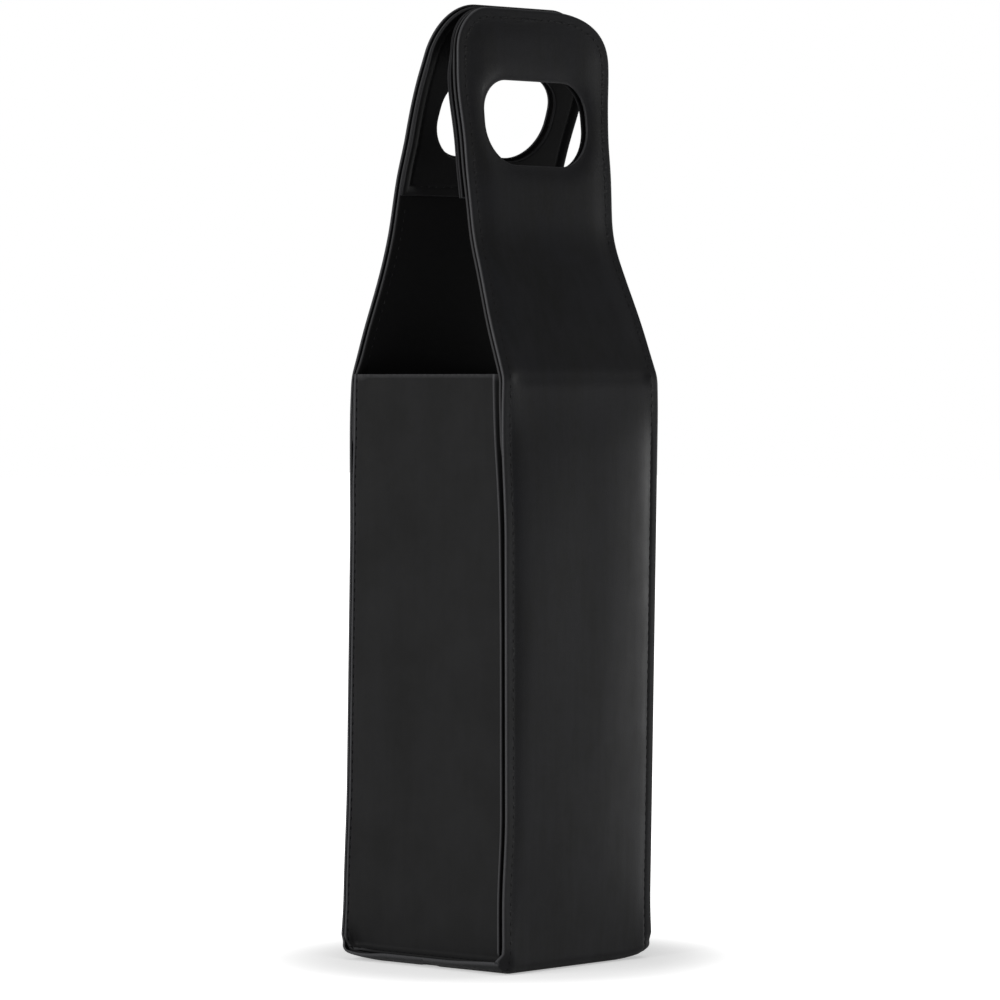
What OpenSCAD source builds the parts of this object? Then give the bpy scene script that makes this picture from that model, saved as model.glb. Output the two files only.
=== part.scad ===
// Carrier for one wine bottle, in stiff black leatherette.
// One long strip runs down the front, under the base and up the back. A board-stiffened
// gusset is sewn in at each side, edges outward, so a flange stands out round each gusset.
// Above the gussets the strip goes on as two leaning flaps, each with a hand hole.
// Millimetres, +Z up. The front panel faces -Y, and the origin is the middle of the base.

/* [Body] */
// Width of the front and back panels, edge to edge
panel_w = 92; // [86:1:130]
// Depth over the front and back leather
body_d = 92; // [80:1:130]
// Height of the gussets' top edge above the ground
gusset_h = 246; // [150:1:320]
// How far the sewn flanges stand out past each gusset
flange_w = 4; // [3.6:0.1:6]
// Outer radius of the strip's turns under the base
turn_r = 3.4; // [3:0.1:8]

/* [Flaps] */
// Length of the front flap along its own surface
flap_l = 156; // [140:1:200]
// How much longer the back flap is, because it leans further and still ends as high
back_extra = 6; // [0:0.5:12]
// Level gap between the innermost corners of the two handles
handle_gap = 4.5; // [2:0.1:20]
// Lean of the front flap's lower stretch in degrees, before both flaps turn to keep the gap
front_lean = 21; // [10:0.5:22]
// Lean of the front flap's upper stretch in degrees, before both flaps turn to keep the gap
front_top_lean = 4; // [1:0.5:10]
// Lean of the back flap's lower stretch in degrees, before both flaps turn to keep the gap
back_lean = 19; // [10:0.5:20]
// Lean of the back flap's upper stretch in degrees, before both flaps turn to keep the gap
back_top_lean = 18; // [6:0.5:20]
// Length along a flap from its crease to the middle of its bend
bend_at = 62; // [45:1:70]
// Radius of the bend between a flap's two stretches
bend_r = 70; // [40:1:120]
// How much narrower than the panel a flap's waist is, at each side
waist_in = 4.7; // [0:0.1:10]
// How much narrower than the panel the handle end is, at each side
handle_in = 1.5; // [0:0.1:8]
// Height of the waist above the gussets
waist_at = 60; // [40:1:75]
// Radius of a flap's top corners
corner_r = 24; // [14:1:30]

/* [Hand holes] */
// Handle left at each side of a hand hole, out to the handle's edge
hole_side = 14.5; // [11:0.5:24.5]
// Height of a hand hole along the flap
hole_h = 35.4; // [28:0.2:42]
// Leather left between a hand hole and the flap's top edge
hole_below_top = 29.8; // [20:0.2:34]
// Radius of a hand hole's upper corners
hole_top_r = 13.5; // [8:0.5:14]
// Radius of a hand hole's lower corners
hole_foot_r = 17.4; // [8:0.2:18]

/* [Leather, board and lining] */
// Thickness of the leatherette
leather_t = 1.2; // [0.8:0.1:2]
// Thickness of the stiffening board
board_t = 1.8; // [1:0.1:2.4]
// Thickness of the fabric lining
lining_t = 0.5; // [0.3:0.1:1]
// Thickness of the leatherette facing inside each handle
facing_t = 1.4; // [0.8:0.1:2]
// Width of the turned and sewn edge that the board stops short of
edge_w = 5; // [4.4:0.1:8]
// Turned edge left round a hand hole
hole_rim = 3.5; // [2:0.1:6]
// Length of the handle facing, down from the flap's top edge
facing_l = 82; // [72:1:88]
// Gap that a board leaves at a crease, so that the leather folds there
crease_w = 3; // [2:0.1:6]
// Clearance between a board and the edge or the corner that it stops at
board_gap = 0.4; // [0.2:0.1:1]
// Turned hem along a gusset's top edge
hem_w = 1.5; // [1:0.1:3]

/* [Stitches] */
// Distance from one stitch to the next
stitch_pitch = 4; // [3.6:0.1:8]
// Length of thread that shows in one stitch
stitch_l = 3.1; // [2:0.1:3.4]
// Width of the thread
stitch_w = 0.8; // [0.5:0.1:1.2]
// Height of the thread above the leather
stitch_h = 0.35; // [0.2:0.05:0.6]
// Distance of a seam from the edge beside it
stitch_in = 3.4; // [2.4:0.1:3.5]

/* [Hidden] */
// Gap across each flap's crease, between the panel's top and the flap's foot
hinge_gap = 0.3;
// Overrun of every cut past the face that it leaves
overrun = 1;
// Straight pieces that stand for one bend of a flap
bend_steps = 8;
// Straight pieces along one curved side of a flap
side_steps = 16;
half_turn = 180;
quarter_turn = 90;
degrees_per_radian = half_turn / PI;
// Share of the foot width that a stitch keeps across its top
stitch_top_share = 0.5;
// Leather and board together, which is also the thickness of a turned edge
wrap_t = leather_t + board_t;
// Depth of the front or back stack, from its leather face to the lining face
stack_t = wrap_t + lining_t;
half_w = panel_w / 2;
half_d = body_d / 2;
waist_half = half_w - waist_in;
handle_half = half_w - handle_in;
// Width of a hand hole
hole_w = 2 * (handle_half - hole_side);
back_flap_l = flap_l + back_extra;
gusset_x = half_w - flange_w;
seam_x = half_w - stitch_in;
black = [0.13, 0.13, 0.14];
inner_black = [0.09, 0.09, 0.1];
lining_black = [0.05, 0.05, 0.055];
board_grey = [0.52, 0.5, 0.46];
thread_black = [0.2, 0.2, 0.21];
$fn = 64;
// Both handles' innermost corners added up, as [distance inward, height above the gussets]
corner_reach = under([front_lean, front_top_lean], flap_l, wrap_t + facing_t)
    + under([back_lean, back_top_lean], back_flap_l, wrap_t + facing_t);
// Outward turn of both flaps at their creases that sets those corners handle_gap apart
spread = acos((body_d - handle_gap) / norm(corner_reach)) - atan2(corner_reach[1], corner_reach[0]);
// A flap's shape: its lower lean, its upper lean and its length
FRONT = [front_lean - spread, front_top_lean - spread, flap_l];
BACK = [back_lean - spread, back_top_lean - spread, back_flap_l];

// The path of a flap's outer face, in the plane across the crease.
// Each point is [distance inward, height above the gussets] at the length s from the crease.
function bend_l(f) = bend_r * abs(f[1] - f[0]) / degrees_per_radian;
function bend_from(f) = bend_at - bend_l(f) / 2;
function bend_to(f) = bend_at + bend_l(f) / 2;
function lean_at(f, s) =
    s <= bend_from(f) ? f[0] :
    s >= bend_to(f) ? f[1] :
    f[0] + (f[1] - f[0]) * (s - bend_from(f)) / bend_l(f);
function uphill(lean) = [sin(lean), cos(lean)];
function bend_step(f, s) =
    sign(f[1] - f[0]) * bend_r
    * [cos(f[0]) - cos(lean_at(f, s)), sin(lean_at(f, s)) - sin(f[0])];
function spot(f, s) =
    s <= bend_from(f) ? s * uphill(f[0]) :
    s <= bend_to(f) ? bend_from(f) * uphill(f[0]) + bend_step(f, s) :
    spot(f, bend_to(f)) + (s - bend_to(f)) * uphill(f[1]);
// The same path at a depth t below the outer face
function under(f, s, t) = spot(f, s) + t * [cos(lean_at(f, s)), -sin(lean_at(f, s))];
// Lengths at which the path needs a point, from one length to another
function stops(f, from, to) = concat(
    [from],
    bend_l(f) == 0 ? [] : [
        for (i = [0 : bend_steps])
            let (s = bend_from(f) + bend_l(f) * i / bend_steps)
            if (s > from && s < to) s
    ],
    [to]
);
// Height of an arc over its chord
function sagitta(r, chord) = r - sqrt(pow(r, 2) - pow(chord / 2, 2));
// Lift that keeps a stitch's foot clear of the straight pieces where a flap bends toward it
function stitch_lift(f) =
    bend_l(f) == 0 ? 0 : sagitta(bend_r, stitch_l) + sagitta(bend_r, bend_l(f) / bend_steps);
function flap_top(f) = spot(f, f[2])[1];
function corner_z(f) = flap_top(f) - corner_r;
// Length from a flap's crease to its facing's hem, and to the middle of its hand hole
function hem_at(f) = f[2] - facing_l;
function hole_at(f) = f[2] - hole_below_top - hole_h / 2;
// A smooth step from 0 to 1
function ease(x) = (1 - cos(half_turn * x)) / 2;
// Half of a flap's width at a height above the gussets
function flap_half(f, z) =
    z <= 0 ? half_w :
    z <= waist_at ? half_w - waist_in * ease(z / waist_at) :
    z <= corner_z(f) ? waist_half + (handle_half - waist_half)
        * ease((z - waist_at) / (corner_z(f) - waist_at)) :
    handle_half;

// Carries a drawing of the Y-Z plane through the width w
module along_x(w) {
    rotate([quarter_turn, 0, quarter_turn]) linear_extrude(w, center = true) children();
}

// Carries a drawing of the X-Z plane through the depth d
module along_y(d) {
    rotate([quarter_turn, 0, 0]) linear_extrude(d, center = true) children();
}

// The strip's inside line at a depth t below its outer face, as a filled drawing
module strip_fill(t, top) {
    r = max(turn_r - t, 0);
    w = body_d - 2 * t;
    translate([-w / 2, t + r]) square([w, top - t - r]);
    if (r > 0) {
        translate([-w / 2 + r, t]) square([w - 2 * r, r + overrun]);
        for (side = [-1, 1]) translate([side * (w / 2 - r), t + r]) circle(r);
    }
}

// One layer of the strip, from the depth a to the depth b below its outer face
module strip_layer(a, b, top = gusset_h) {
    difference() {
        strip_fill(a, top);
        strip_fill(b, top + overrun);
    }
}

module outer_wrap() {
    color(black) difference() {
        along_x(panel_w) strip_layer(0, wrap_t);
        along_x(panel_w - 2 * edge_w)
            strip_layer(leather_t, wrap_t + overrun, gusset_h + overrun);
    }
}

module wrap_lining() {
    color(lining_black) along_x(panel_w) strip_layer(wrap_t, stack_t);
}

// A board in the pocket of the front panel
module panel_board() {
    w = panel_w - 2 * (edge_w + board_gap);
    foot = turn_r + board_gap;
    color(board_grey) translate([-w / 2, -half_d + leather_t, foot])
        cube([w, board_t, gusset_h - crease_w - foot]);
}

module base_board() {
    w = panel_w - 2 * (edge_w + board_gap);
    d = body_d - 2 * (turn_r + board_gap);
    color(board_grey) translate([-w / 2, -d / 2, leather_t]) cube([w, d, board_t]);
}

// The left gusset's leather: its plate, and the flange turned out along three edges
module gusset() {
    color(black) {
        translate([-gusset_x + leather_t / 2, 0, 0])
            along_x(leather_t) strip_fill(stack_t, gusset_h);
        translate([-half_w + (flange_w + leather_t) / 2, 0, 0])
            along_x(flange_w + leather_t) strip_layer(stack_t, stack_t + leather_t);
    }
}

module gusset_board() {
    d = body_d - 2 * (stack_t + board_gap);
    foot = stack_t + board_gap;
    color(board_grey) translate([-gusset_x + leather_t, -d / 2, foot])
        cube([board_t, d, gusset_h - hem_w - foot]);
}

module gusset_lining() {
    color(lining_black) translate([-gusset_x + wrap_t + lining_t / 2, 0, 0])
        along_x(lining_t) strip_fill(stack_t, gusset_h);
}

// One stitch lying along Y on the plane z = 0, its thread narrower at the top
module stitch() {
    translate([0, stitch_l / 2, 0]) rotate([quarter_turn, 0, 0]) linear_extrude(stitch_l)
        polygon([
            [-stitch_w / 2, 0],
            [stitch_w / 2, 0],
            [stitch_w / 2 * stitch_top_share, stitch_h],
            [-stitch_w / 2 * stitch_top_share, stitch_h]
        ]);
}

// The left gusset's seams: up the front, up the back and along the base
module seam_stitches() {
    low = turn_r + stitch_pitch;
    count = floor((gusset_h - low) / stitch_pitch);
    reach = half_d - stack_t - leather_t - stitch_l;
    base_count = floor(reach / stitch_pitch);
    color(thread_black) {
        for (side = [0, 1], i = [0 : count - 1])
            mirror([0, side, 0]) translate([-seam_x, -half_d, low + i * stitch_pitch])
                rotate([quarter_turn, 0, 0]) stitch();
        for (i = [-base_count : base_count])
            translate([-seam_x, i * stitch_pitch, stack_t + leather_t]) stitch();
    }
}

// A flap's outline seen from the front, drawn in by inset, from the height foot up
module flap_outline(f, inset, foot) {
    rise = corner_z(f) - foot;
    side = [
        for (i = [0 : side_steps])
            let (z = foot + rise * i / side_steps) [flap_half(f, z) - inset, z]
    ];
    far_side = [for (i = [side_steps : -1 : 0]) [-side[i][0], side[i][1]]];
    polygon(concat(side, far_side));
    between = handle_half - corner_r;
    translate([-between, corner_z(f) - overrun])
        square([2 * between, corner_r - inset + overrun + (inset == 0 ? overrun : 0)]);
    for (x = [-between, between]) translate([x, corner_z(f)]) circle(corner_r - inset);
}

// One layer of a flap, from the depth a to the depth b, over the lengths from and to
module flap_layer(f, a, b, to, inset = 0, foot = hinge_gap, from = 0) {
    s = stops(f, from, to);
    last = len(s) - 1;
    translate([0, -half_d, gusset_h]) intersection() {
        along_x(panel_w + 2 * overrun) polygon(concat(
            [for (i = [0 : last]) under(f, s[i], a)],
            [for (i = [last : -1 : 0]) under(f, s[i], b)]
        ));
        along_y(2 * f[2]) flap_outline(f, inset, foot);
    }
}

// A hand hole's outline about its centre, enlarged by grow
module hole_outline(grow) {
    w = hole_w / 2 + grow;
    h = hole_h / 2 + grow;
    top = hole_top_r + grow;
    foot = hole_foot_r + grow;
    for (side = [-1, 1]) {
        translate([side * (w - top), h - top]) circle(top);
        translate([side * (w - foot), foot - h]) circle(foot);
    }
    polygon([
        [w - top, h], [w, h - top], [w, foot - h], [w - foot, -h],
        [foot - w, -h], [-w, foot - h], [-w, h - top], [top - w, h]
    ]);
}

// Sets children on a flap's outer face: Y along the flap and Z out of the leather
module on_flap(f, s, x = 0) {
    translate([x, -half_d + spot(f, s)[0], gusset_h + spot(f, s)[1]])
        rotate([quarter_turn - lean_at(f, s), 0, 0]) children();
}

module hole_cut(f, grow) {
    on_flap(f, hole_at(f))
        translate([0, 0, -stack_t - facing_t - overrun])
            linear_extrude(stack_t + facing_t + 2 * overrun) hole_outline(grow);
}

// Outer leather of a flap, with its turned edges round the pocket for the board
module flap_skin(f) {
    color(black) difference() {
        flap_layer(f, 0, wrap_t, f[2]);
        difference() {
            flap_layer(f, leather_t, wrap_t + overrun, f[2], edge_w, -overrun);
            hole_cut(f, hole_rim);
        }
        hole_cut(f, 0);
    }
}

module flap_board(f) {
    color(board_grey) difference() {
        flap_layer(f, leather_t, wrap_t, f[2], edge_w + board_gap, crease_w);
        hole_cut(f, hole_rim + board_gap);
    }
}

module flap_lining(f) {
    color(lining_black) flap_layer(f, wrap_t, stack_t, hem_at(f));
}

module handle_facing(f) {
    color(inner_black) difference() {
        flap_layer(f, wrap_t, wrap_t + facing_t, f[2], from = hem_at(f));
        hole_cut(f, 0);
    }
}

// Stitches round a flap's sides, corners and top, and along its facing's hem
module flap_stitches(f) {
    corner_s = f[2] - corner_r;
    side_count = floor((corner_s - stitch_pitch) / stitch_pitch);
    arc_r = corner_r - stitch_in;
    arc_count = round(arc_r * PI / 2 / stitch_pitch);
    between = handle_half - corner_r;
    top_count = floor((between - stitch_l / 2) / stitch_pitch);
    hem_half = flap_half(f, spot(f, hem_at(f))[1]) - stitch_in - stitch_pitch;
    hem_count = floor(hem_half / stitch_pitch);
    color(thread_black) {
        for (side = [-1, 1]) {
            for (i = [0 : side_count])
                let (s = corner_s - i * stitch_pitch)
                    on_flap(f, s, side * (flap_half(f, spot(f, s)[1]) - stitch_in))
                        translate([0, 0, stitch_lift(f)]) stitch();
            for (i = [1 : arc_count])
                let (a = quarter_turn * (i - 1 / 2) / arc_count)
                    on_flap(f, corner_s + arc_r * sin(a), side * (between + arc_r * cos(a)))
                        rotate([0, 0, side * a]) stitch();
        }
        for (i = [-top_count : top_count])
            on_flap(f, f[2] - stitch_in, i * stitch_pitch)
                rotate([0, 0, quarter_turn]) stitch();
        for (i = [-hem_count : hem_count])
            on_flap(f, hem_at(f) + stitch_in, i * stitch_pitch)
                translate([0, 0, -wrap_t - facing_t])
                    rotate([half_turn, 0, quarter_turn]) stitch();
    }
}

// What is drawn at the front or at the left is mirrored for its partner
module to_back() {
    mirror([0, 1, 0]) children();
}

module to_right() {
    mirror([1, 0, 0]) children();
}

outer_wrap();
wrap_lining();
panel_board();  // front_board
base_board();
to_back() panel_board();  // back_board
gusset();  // left_gusset
gusset_board();  // left_gusset_board
gusset_lining();  // left_gusset_lining
seam_stitches();  // left_seam_stitches
to_right() gusset();  // right_gusset
to_right() gusset_board();  // right_gusset_board
to_right() gusset_lining();  // right_gusset_lining
to_right() seam_stitches();  // right_seam_stitches
flap_skin(FRONT);  // front_flap_skin
flap_board(FRONT);  // front_flap_board
flap_lining(FRONT);  // front_flap_lining
handle_facing(FRONT);  // front_handle_facing
flap_stitches(FRONT);  // front_flap_stitches
to_back() flap_skin(BACK);  // back_flap_skin
to_back() flap_board(BACK);  // back_flap_board
to_back() flap_lining(BACK);  // back_flap_lining
to_back() handle_facing(BACK);  // back_handle_facing
to_back() flap_stitches(BACK);  // back_flap_stitches
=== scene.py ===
import math
import bmesh
import bpy
import numpy as np
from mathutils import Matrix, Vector
from mathutils.geometry import delaunay_2d_cdt


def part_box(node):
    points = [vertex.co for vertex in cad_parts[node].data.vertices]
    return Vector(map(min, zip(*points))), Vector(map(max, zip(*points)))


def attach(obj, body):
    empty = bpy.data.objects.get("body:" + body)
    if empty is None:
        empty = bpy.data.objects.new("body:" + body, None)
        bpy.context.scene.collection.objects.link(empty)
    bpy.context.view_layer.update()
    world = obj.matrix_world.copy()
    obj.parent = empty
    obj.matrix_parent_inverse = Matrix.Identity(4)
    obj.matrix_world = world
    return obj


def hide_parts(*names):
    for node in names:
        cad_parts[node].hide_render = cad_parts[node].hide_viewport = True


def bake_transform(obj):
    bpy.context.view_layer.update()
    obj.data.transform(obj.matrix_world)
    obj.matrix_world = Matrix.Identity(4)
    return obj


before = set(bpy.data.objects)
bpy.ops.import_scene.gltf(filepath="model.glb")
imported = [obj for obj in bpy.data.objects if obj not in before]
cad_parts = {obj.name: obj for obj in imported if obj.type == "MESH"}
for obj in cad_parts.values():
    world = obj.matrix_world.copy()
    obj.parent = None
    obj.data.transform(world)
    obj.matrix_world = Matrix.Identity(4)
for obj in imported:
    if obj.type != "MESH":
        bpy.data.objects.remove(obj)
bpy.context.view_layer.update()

MM = 0.001


def size_of(node, axis):
    """Length of a CAD node along one axis, in millimetres"""
    lo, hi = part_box(node)
    return round((hi[axis] - lo[axis]) / MM, 3)


# The large sizes come from the frame, and the rest are the part's own. All are millimetres
PANEL_W = size_of("outer_wrap", 0)
BODY_D = size_of("outer_wrap", 1)
TOP = round(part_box("left_gusset")[1][2] / MM, 3)
HALF = PANEL_W / 2
FLANGE = 4.0
FLAP_L, BACK_EXTRA = 156.0, 6.0
HOLE_W, HOLE_H, HOLE_BELOW = 60.0, 35.4, 29.8
HOLE_TOP_R, HOLE_FOOT_R = 13.5, 17.4
TURN_R = 4.2
EDGE_W, HOLE_RIM = 5.0, 3.5

# The front facing's hem is higher than the back one's, and the piece sits a little to the left
FACING_L, FRONT_HEM_UP, FACING_SHIFT = 82.0, 2.8, 0.6
STITCH_PITCH, STITCH_L, STITCH_IN = 4.0, 2.5, 4.1
SEAM_UP = 2.0

# Each layer's thickness, and how deep the layers reach from the outer face
LEATHER, BOARD, LINING, FACING = 1.2, 1.8, 0.5, 1.4
WRAP = LEATHER + BOARD
STACK = WRAP + LINING
HANDLE = WRAP + FACING

# How each flap leans on its way up: the length from the crease, and the lean there in degrees
FRONT_PATH = ((0, 20.8), (49, 20.8), (72, 5.0), (100, 6.0), (112, 6.0), (128, 0.3))
BACK_PATH = ((0, 18.8), (62, 18.8), (64, 17.8))
CREASE_HALF = 4.0

# Width: the sides draw in to a waist, then widen in two easy steps to the handle
WAIST_IN, WAIST_AT = 4.7, 60.0
FIRST_STEP, FIRST_RUN = 1.1, 28.0
SECOND_STEP, SECOND_RUN, SECOND_AT = 2.0, 32.0, 94.0
CREASE_IN = 0.8
HANDLE_HALF = HALF - WAIST_IN + FIRST_STEP + SECOND_STEP

# The real carrier is twisted and leans a little along the view. Both are spread over its height
VIEW_AZ = math.radians(46.2)
TWIST, LEAN = 3.44, 3.46

# Its foot flares and lifts at two corners, and the left gusset's upright edges bow forward
FOOT_TALL, FOOT_REACH = 30.0, 20.0
FOOT_FLARE, FOOT_LIFT = 1.0, 2.6
FRONT_EDGE_BOW, BACK_EDGE_BOW = 1.75, 1.1

# The back flap's left edge bows outward and its right edge inward, each at its half width
LEFT_BOW, RIGHT_BOW, BOW_HALF = 3.6, 4.4, 44.0

# The panels' crowns are fuller on the carrier's right than on its left. A flap's is even
CROWN_RIGHT, CROWN_LEFT, CROWN_RUN = 2.2, 0.4, 34.0
FLAP_CROWN = 0.62

# How far the turned-up edge under the base stands, and how wide it is
CURL_TALL, CURL_REACH = 3.0, 7.0


def smooth(x):
    x = np.clip(x, 0.0, 1.0)
    return x * x * (3 - 2 * x)


def ease(x):
    return (1 - np.cos(math.pi * np.clip(x, 0.0, 1.0))) / 2


def bump(x, half):
    return np.exp(-(x / half) ** 2)


def swell(x, start, rise, end, fall):
    """Rises smoothly from 0 to 1 above its start, and falls again above its end"""
    return smooth((x - start) / rise) * (1 - smooth((x - end) / fall))


def half_width(z):
    """Half width of the strip at a height above the gussets"""
    draw = WAIST_IN * ease(z / WAIST_AT) + CREASE_IN * bump(z - 6, 14)
    first = FIRST_STEP * smooth((z - WAIST_AT) / FIRST_RUN)
    second = SECOND_STEP * smooth((z - SECOND_AT) / SECOND_RUN)
    return HALF - draw + first + second


class Strip:
    """One half of the long strip: s is the length up from the crease, and it is negative below it"""
    def __init__(self, side, length, path, crease, facing, corners):
        self.side, self.length, self.path, self.crease = side, length, path, crease
        # The right and left top corners: where each meets the top, its height and its roundness
        self.corners = corners
        self.foot = -(TOP - TURN_R)
        self.turn_end = self.foot - TURN_R * math.pi / 2
        self.low = self.turn_end - (BODY_D / 2 - TURN_R)
        self.hole_at = length - HOLE_BELOW - HOLE_H / 2
        self.hem = length - facing
        self._trace()
        self.edge_line = np.array(arch(self, self.low))
        self.hole = np.array(hole_ring(self))

    def lean(self, s):
        """Lean in degrees at a length, eased in through the crease and between the path's stops"""
        stops = [p[0] for p in self.path]
        leans = [p[1] for p in self.path]
        k = int(np.clip(np.searchsorted(stops, s) - 1, 0, len(stops) - 2))
        t = float(smooth((s - stops[k]) / (stops[k + 1] - stops[k])))
        start = float(smooth((s - self.crease + CREASE_HALF) / (2 * CREASE_HALF)))
        return start * (leans[k] + t * (leans[k + 1] - leans[k]))

    def _trace(self):
        """Lengths, with the way in from the outer face, the height and the lean at each"""
        rows = []
        for i in range(9):
            s = self.low + (self.turn_end - self.low) * i / 8
            rows.append((s, BODY_D / 2 - (s - self.low), -TOP, -90.0))
        for i in range(1, 13):
            a = math.pi / 2 * i / 12
            rows.append((self.turn_end + TURN_R * a, TURN_R * (1 - math.sin(a)),
                         -TOP + TURN_R * (1 - math.cos(a)), -90.0 + math.degrees(a)))
        step = 0.1
        s = self.crease - CREASE_HALF
        u, z = 0.0, s
        rows.append((s, u, z, 0.0))
        while s < self.length + 1:
            a = math.radians(self.lean(s + step / 2))
            s += step
            u += step * math.sin(a)
            z += step * math.cos(a)
            rows.append((s, u, z, math.degrees(a)))
        self.s, self.u, self.z, self.l = np.array(rows).T

    def height(self, s):
        """Height above the gussets' top"""
        return np.interp(s, self.s, self.z)

    def half(self, s):
        return float(half_width(self.height(s)))

    def at(self, s, depth):
        """The way in from the body's outer plane and the height, at a depth under the strip's face"""
        lean = np.radians(np.interp(s, self.s, self.l))
        u = np.interp(s, self.s, self.u) + depth * np.cos(lean)
        z = np.interp(s, self.s, self.z) - depth * np.sin(lean)
        return u, z


def side_stops(strip, lo, hi):
    """Lengths along a side, closer together where the strip turns"""
    stops, s = [lo], lo + 12.0
    while s < hi - 0.5:
        stops.append(s)
        if strip.turn_end - 1 < s < strip.foot + 1.5:
            s += 0.5
        elif abs(s) < 7:
            s += 0.8
        else:
            s = min([s + 2.5] + [e + 0.01 for e in (strip.turn_end - 1, -7.0) if s < e])
    return stops + [hi]


# Spacing of the points along a straight top or foot, and how far the foot's keep from the corners
EDGE_STEP, FOOT_INSET = 4.0, 8.0


def up_and_round(strip, lo, corner):
    """The edge from its foot up one side, round the top corner and to near the middle of the top"""
    start_x, tall, power = corner
    line = [(strip.half(s), s) for s in side_stops(strip, lo, strip.length - tall)]
    for i in range(1, 25):
        a = math.pi / 2 * i / 24
        x = start_x + (HANDLE_HALF - start_x) * math.cos(a) ** (2 / power)
        line.append((x, strip.length - tall + tall * math.sin(a) ** (2 / power)))
    count = int(start_x // EDGE_STEP)
    return line + [(start_x * (1 - i / (count + 1)), strip.length) for i in range(1, count + 1)]


def arch(strip, lo, inset=0.0):
    """Open line up one side, round the top and down the other, moved inward by an inset"""
    right, left = [up_and_round(strip, lo, corner) for corner in strip.corners]
    line = np.array(right + [(0.0, strip.length)] + [(-x, s) for x, s in reversed(left)])
    along = np.gradient(line, axis=0)
    along /= np.linalg.norm(along, axis=1)[:, None]
    moved = line + inset * np.stack([-along[:, 1], along[:, 0]], 1)
    moved[:, 1] = np.maximum(moved[:, 1], lo)
    return [tuple(p) for p in moved]


def closed_outline(strip, lo, inset=0.0):
    """The arch closed along its foot, counter-clockwise"""
    line = arch(strip, lo, inset)
    x0, x1 = line[-1][0] + FOOT_INSET, line[0][0] - FOOT_INSET
    count = int((x1 - x0) / EDGE_STEP)
    return line + [(x0 + (x1 - x0) * i / count, lo) for i in range(count + 1)]


def hole_ring(strip, grow=0.0, steps=14):
    """The hand hole: straight sides with larger round corners at its foot"""
    w, h = HOLE_W / 2 + grow, HOLE_H / 2 + grow
    rt, rf = HOLE_TOP_R + grow, HOLE_FOOT_R + grow
    ring = []
    for cx, cy, r, start in ((w - rf, rf - h, rf, -90), (w - rt, h - rt, rt, 0),
                             (rt - w, h - rt, rt, 90), (rf - w, rf - h, rf, 180)):
        for i in range(steps + 1):
            a = math.radians(start + 90 * i / steps)
            point = (cx + r * math.cos(a), strip.hole_at + cy + r * math.sin(a))
            if not ring or math.dist(point, ring[-1]) > 0.3:
                ring.append(point)
    if math.dist(ring[0], ring[-1]) < 0.3:
        ring.pop()
    full = []
    for p, q in zip(ring, ring[1:] + ring[:1]):
        n = int(math.dist(p, q) // 3) + 1
        full += [(p[0] + (q[0] - p[0]) * k / n, p[1] + (q[1] - p[1]) * k / n) for k in range(n)]
    return full


# Flat patterns: loops that follow an edge, and points between them

def inside(points, poly):
    """Which points lie within a closed outline"""
    x, y = points[:, 0], points[:, 1]
    hit = np.zeros(len(points), bool)
    for (ax, ay), (bx, by) in zip(poly, np.roll(poly, -1, 0)):
        if ay != by:
            hit ^= ((ay > y) != (by > y)) & (x < (bx - ax) * (y - ay) / (by - ay) + ax)
    return hit


def distance(points, poly, closed=True):
    """Distance of each point from an outline or an open line"""
    a = poly if closed else poly[:-1]
    b = np.roll(poly, -1, 0) if closed else poly[1:]
    best = np.full(len(points), 1e9)
    for p, q in zip(a, b):
        d = q - p
        t = np.clip(((points - p) @ d) / max(float(d @ d), 1e-12), 0, 1)
        best = np.minimum(best, np.hypot(*(points - (p + t[:, None] * d)).T))
    return best


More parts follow.
